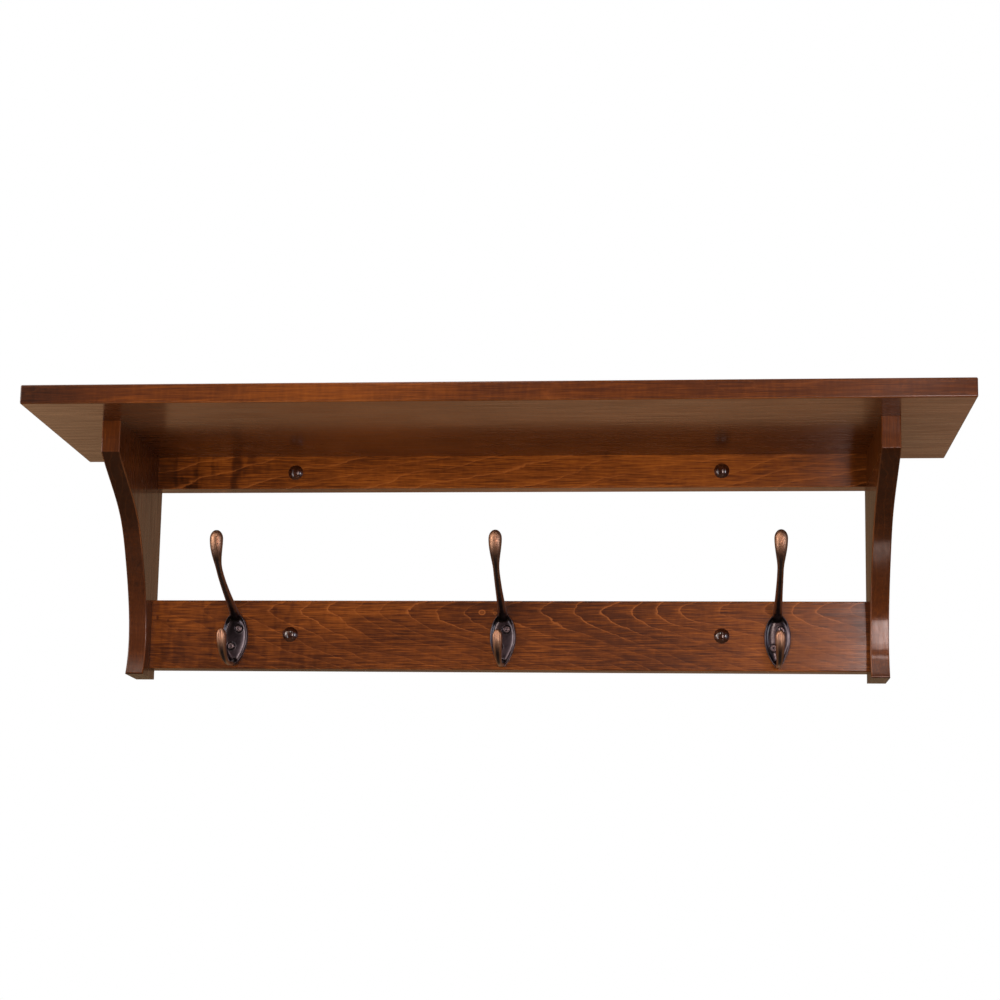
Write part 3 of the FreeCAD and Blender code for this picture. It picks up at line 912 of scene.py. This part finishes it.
def addScrew(mesh, x, up, turn):
    # Rings from the middle of the head out, down its side, and along the shank to the point
    shape, seat = screwShape, railFace - hookShape["seatHeight"]
    cosine, sine = math.cos(turn), math.sin(turn)
    rows = []
    for ring in range(shape["rings"] + 1):
        radius = shape["headRadius"] * max(0.01, ring / shape["rings"])
        row = []
        for across, _, rise in circle(0, 0, 0, radius, shape["turns"]):
            out = headHeight(across * cosine + rise * sine, rise * cosine - across * sine)
            row.append((x + across, seat - out, up + rise))
        rows.append(row)
    head, shank, length = shape["headRadius"], shape["shankRadius"], shape["length"]
    point = (shank * shape["pointShare"], length)
    for radius, depth in ((head, 0), (shank, 0), (shank, length * shape["pointFrom"]), point):
        rows.append(circle(x, seat + depth, up, radius, shape["turns"]))
    addLoft(mesh, rows)


screwLook = {
    "dark": fromScreen(92, 80, 84),
    "worn": fromScreen(160, 142, 142),
    # How far the cross is turned, in radians: upper screw, lower screw
    "turns": {"left": (0.3, 0.9), "centre": (0.7, 0.1), "right": (0.2, 1.1)},
}


def makeScrewMetal():
    metal = Shading("Blackened screw")
    place = metal.place()
    speckle = metal.noise(place, 900, 2, 0.5)
    scuff = metal.noise(place, 300, 2, 0.5)
    tone = metal.plus(metal.times(speckle, 0.5), metal.times(scuff, 0.5))
    metal.set(Base_Color=metal.ramp(tone, [(0.38, screwLook["dark"]), (0.75, screwLook["worn"])]))
    metal.set(Metallic=1.0, Roughness=metal.between(scuff, 0.3, 0.7, 0.30, 0.42))
    metal.set(Normal=metal.bump([(speckle, 0.000004)]))
    return metal.material


def makeHookScrews():
    material = makeScrewMetal()
    for name in hookNames:
        shell = bmesh.new()
        for (x, up), turn in zip(screwSeats(name), screwLook["turns"][name]):
            addScrew(shell, hookMiddle(name) + x, hookShape["level"] + up, turn)
        mesh = closeShell(shell, "hook screws " + name)
        mesh.shade_smooth()
        mesh.materials.append(material)
        piece = makeObject("hookScrews_" + name, mesh)
        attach(piece, "root")
        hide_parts("hook_" + name + "_screws")
    print("hook screws made:", 2 * len(hookNames))


# Plugs

plugShape = {
    # Half profile of the button: (share of the radius, share of the dome's height)
    "profile": [
        (1.0, 0.0), (1.0, 0.10), (0.985, 0.17), (0.955, 0.215), (0.93, 0.25), (0.86, 0.40),
        (0.76, 0.56), (0.63, 0.72), (0.48, 0.85), (0.32, 0.94), (0.16, 0.985), (0.01, 1.0),
    ],
    "shankShare": 0.78, "turns": 64,
}
plugLook = {
    "deep": fromScreen(20, 6, 2), "dark": fromScreen(46, 20, 9), "light": fromScreen(88, 46, 24),
}


def makePlugWood():
    wood = Shading("Plug wood")
    x, y, z = wood.split(wood.place())
    fibre = wood.noise(wood.join(wood.times(x, 0.12), wood.times(y, 0.5), z), 900, 3, 0.6)
    cloud = wood.noise(wood.place(), 160, 2, 0.5)
    tone = wood.plus(wood.times(fibre, 0.65), wood.times(cloud, 0.35))
    wood.set(Base_Color=wood.ramp(tone, [
        (0.30, plugLook["deep"]), (0.52, plugLook["dark"]), (0.75, plugLook["light"])]))
    wood.set(Roughness=wood.between(fibre, 0.3, 0.7, 0.30, 0.42))
    wood.set(Specular_IOR_Level=0.1, Coat_Weight=1.0, Coat_Roughness=0.03, Coat_IOR=1.7)
    wood.set(Normal=wood.bump([(fibre, 0.00004)]))
    wood.set(Coat_Normal=wood.bump([(cloud, 0.0001), (fibre, 0.000006)]))
    return wood.material


def plugMesh(low, high, name):
    # A turned button: the shank in its hole, then the dome over the rail's face
    middleX, middleZ = (low.x + high.x) / 2, (low.z + high.z) / 2
    radius, dome = (high.x - low.x) / 2, railFace - low.y
    shank = radius * plugShape["shankShare"]
    stations = [(shank, high.y), (shank, railFace)]
    stations += [(radius * share, railFace - dome * rise) for share, rise in plugShape["profile"]]
    shell = bmesh.new()
    turns = plugShape["turns"]
    addLoft(shell, [circle(middleX, y, middleZ, reach, turns) for reach, y in stations])
    mesh = closeShell(shell, name)
    mesh.shade_smooth()
    return mesh


def makePlugs():
    material = makePlugWood()
    for level in ("upper", "lower"):
        for side in ("left", "right"):
            node = "plug_" + level + "_" + side
            mesh = plugMesh(*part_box(node), "plug " + level + " " + side)
            mesh.materials.append(material)
            piece = makeObject("plugButton_" + level + "_" + side, mesh)
            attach(piece, "root")
            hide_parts(node)
    print("plugs made: 4")


# Stage, light and camera

stageLook = {"floorDrop": 1.5, "floorHalf": 3.0, "floorShade": fromScreen(98, 88, 76)}
worldLook = {
    # Each range is of the height or depth that a ray points to, -1 to 1
    "fill": (1.0, 0.93, 0.84, 1), "fillBelow": 0.50, "fillAbove": 0.30, "fillRange": (-0.5, 0.5),
    "wallLow": (0.326, 0.166, 0.080, 1), "wallHigh": (0.13, 0.085, 0.048, 1),
    "wallRange": (-0.32, -0.14), "roomSide": (0.026, 0.024, 0.024, 1), "roomRange": (-0.2, 0.2),
    # Broad soft glows that only glossy finishes show: direction, colour, how narrow
    "glows": [
        ((-0.80, -0.58, 0.12), (3.4, 3.1, 3.0, 1), 22),
        ((-0.55, -0.50, 0.67), (5.0, 4.0, 3.4, 1), 22),
        ((0.80, -0.60, 0.02), (1.5, 1.6, 2.0, 1), 25),
        ((0.30, 0.95, 0.10), (0.20, 0.115, 0.07, 1), 30),
        ((-0.38, 0.88, -0.27), (0.90, 0.49, 0.26, 1), 150),
        ((-0.02, 0.96, -0.28), (0.36, 0.18, 0.09, 1), 150),
        ((0.20, 0.94, -0.28), (0.62, 0.34, 0.21, 1), 310),
        ((0.16, -0.97, 0.05), (0.9, 0.62, 0.58, 1), 65),
    ],
}
lights = [
    # name, place, size, watts, colour, seen in gloss
    ("front", (-0.45, -2.6, -0.45), (1.3, 0.9), 48.5, (1.0, 0.93, 0.84), False),
    ("over", (-0.5, -1.5, 1.9), (1.2, 0.8), 6, (1.0, 0.96, 0.90), False),
    ("behind", (-0.2, 1.5, 2.1), (1.6, 1.0), 34, (1.0, 0.95, 0.88), False),
    ("sideLeft", (-2.3, 0.7, 0.2), (0.8, 0.8), 9, (1.0, 0.95, 0.88), False),
    ("sideRight", (2.3, 0.7, 0.2), (0.8, 0.8), 9, (1.0, 0.95, 0.88), False),
    ("window", (-1.9, -1.1, 0.40), (0.30, 0.75), 5, (1.0, 0.94, 0.88), True),
    ("lowLeft", (-1.4, -1.5, -0.70), (0.46, 1.0), 4.4, (0.96, 0.96, 1.0), True),
    ("middle", (-0.3, -2.1, 1.25), (0.44, 0.42), 3.6, (1.0, 0.97, 0.93), True),
    ("frontRight", (0.70, -2.2, -0.18), (0.22, 0.88), 8.2, (1.0, 0.76, 0.70), True),
    ("midRight", (0.70, -2.2, 0.37), (0.22, 0.20), 1.15, (1.0, 0.76, 0.70), True),
    ("gapRight", (0.635, -2.2, 0.62), (0.07, 0.20), 0.06, (1.0, 0.76, 0.70), True),
    ("upRight", (0.635, -2.2, 0.88), (0.08, 0.15), 0.32, (1.0, 0.76, 0.70), True),
    ("highRight", (0.66, -2.2, 1.45), (0.30, 1.10), 1.8, (1.0, 0.82, 0.76), True),
    ("lowRight", (0.58, -1.30, -1.30), (0.30, 0.20), 0.4, (1.0, 0.80, 0.72), True),
    ("right", (1.55, -1.4, -0.05), (0.34, 0.60), 4.4, (0.96, 0.97, 1.0), True),
]
cameraView = {
    "place": (0.17597, -2.0, -0.40679), "yaw": 5.1810, "pitch": 8.6877, "roll": 1.0260,
    "lens": 69.65, "shiftUp": 0.15,
}


def makeFloor():
    # Bounces soft light up; to the camera it is as white as the world
    half, level = stageLook["floorHalf"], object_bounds()[0].z - stageLook["floorDrop"]
    corners = [(x * half, y * half, level) for x, y in ((-1, -1), (1, -1), (1, 1), (-1, 1))]
    mesh = bpy.data.meshes.new("floor")
    mesh.from_pydata(corners, [], [(0, 1, 2, 3)])
    pale = Shading("Pale floor")
    pale.set(Base_Color=stageLook["floorShade"], Roughness=0.9)
    toCamera = pale.add("ShaderNodeLightPath").outputs["Is Camera Ray"]
    glow = pale.add("ShaderNodeEmission").outputs["Emission"]
    mixed = pale.add("ShaderNodeMixShader", toCamera, pale.shader.outputs["BSDF"], glow)
    pale.put(pale.output.inputs["Surface"], mixed.outputs["Shader"])
    mesh.materials.append(pale.material)
    makeObject("floor", mesh)


def makeWorld():
    # White to the camera; a soft fill to matt finishes; to glossy ones a dim room before a lit wall
    world = bpy.data.worlds.new("Studio")
    bpy.context.scene.world = world
    world.use_nodes = True
    sky, look = Nodes(world.node_tree), worldLook
    direction = sky.add("ShaderNodeTexCoord").outputs["Generated"]
    _, depth, height = sky.split(direction)
    fill = sky.background(
        look["fill"], sky.between(height, *look["fillRange"], look["fillBelow"], look["fillAbove"]))
    wall = sky.blend(sky.between(height, *look["wallRange"]), look["wallLow"], look["wallHigh"])
    room = sky.blend(sky.between(depth, *look["roomRange"]), look["roomSide"], wall)
    shown = sky.background(room)
    for toward, colour, narrow in look["glows"]:
        facing = sky.vectorMath("DOT_PRODUCT", direction, Vector(toward).normalized())
        strength = sky.math("POWER", sky.math("MAXIMUM", facing, 0.0), float(narrow))
        glow = sky.background(colour, strength)
        shown = sky.add("ShaderNodeAddShader", shown, glow).outputs[0]
    path = sky.add("ShaderNodeLightPath")
    inner = sky.add("ShaderNodeMixShader", path.outputs["Is Glossy Ray"], fill, shown).outputs[0]
    white = sky.background((1, 1, 1, 1))
    outer = sky.add("ShaderNodeMixShader", path.outputs["Is Camera Ray"], inner, white).outputs[0]
    sky.add("ShaderNodeOutputWorld", outer)


def makeLights():
    for name, place, size, watts, colour, inGloss in lights:
        data = bpy.data.lights.new(name, "AREA")
        data.shape = "RECTANGLE"
        data.size, data.size_y = size
        data.energy = watts
        data.color = colour
        lamp = makeObject(name, data)
        lamp.location = place
        lamp.visible_glossy = inGloss
        lamp.rotation_euler = (-Vector(place)).to_track_quat("-Z", "Y").to_euler()


def makeCamera():
    data = bpy.data.cameras.new("camera")
    data.lens = cameraView["lens"]
    data.shift_y = cameraView["shiftUp"]
    camera = makeObject("camera", data)
    yaw, pitch, roll = (math.radians(cameraView[name]) for name in ("yaw", "pitch", "roll"))
    level = math.cos(pitch)
    ahead = Vector((-math.sin(yaw) * level, math.cos(yaw) * level, math.sin(pitch)))
    right = Vector((math.cos(yaw), math.sin(yaw), 0))
    up = right.cross(ahead)
    turnedRight = right * math.cos(roll) + up * math.sin(roll)
    turnedUp = up * math.cos(roll) - right * math.sin(roll)
    columns = Matrix((turnedRight, turnedUp, -ahead)).transposed()
    camera.matrix_world = Matrix.Translation(cameraView["place"]) @ columns.to_4x4()
    bpy.context.scene.camera = camera


def makeStage():
    makeFloor()
    makeWorld()
    makeLights()
    makeCamera()
    bpy.context.scene.view_settings.view_transform = "Standard"
    print("stage, lights and camera set")


dressBoards()
dressDowels()
makeHooks()
makeHookScrews()
makePlugs()
makeStage()
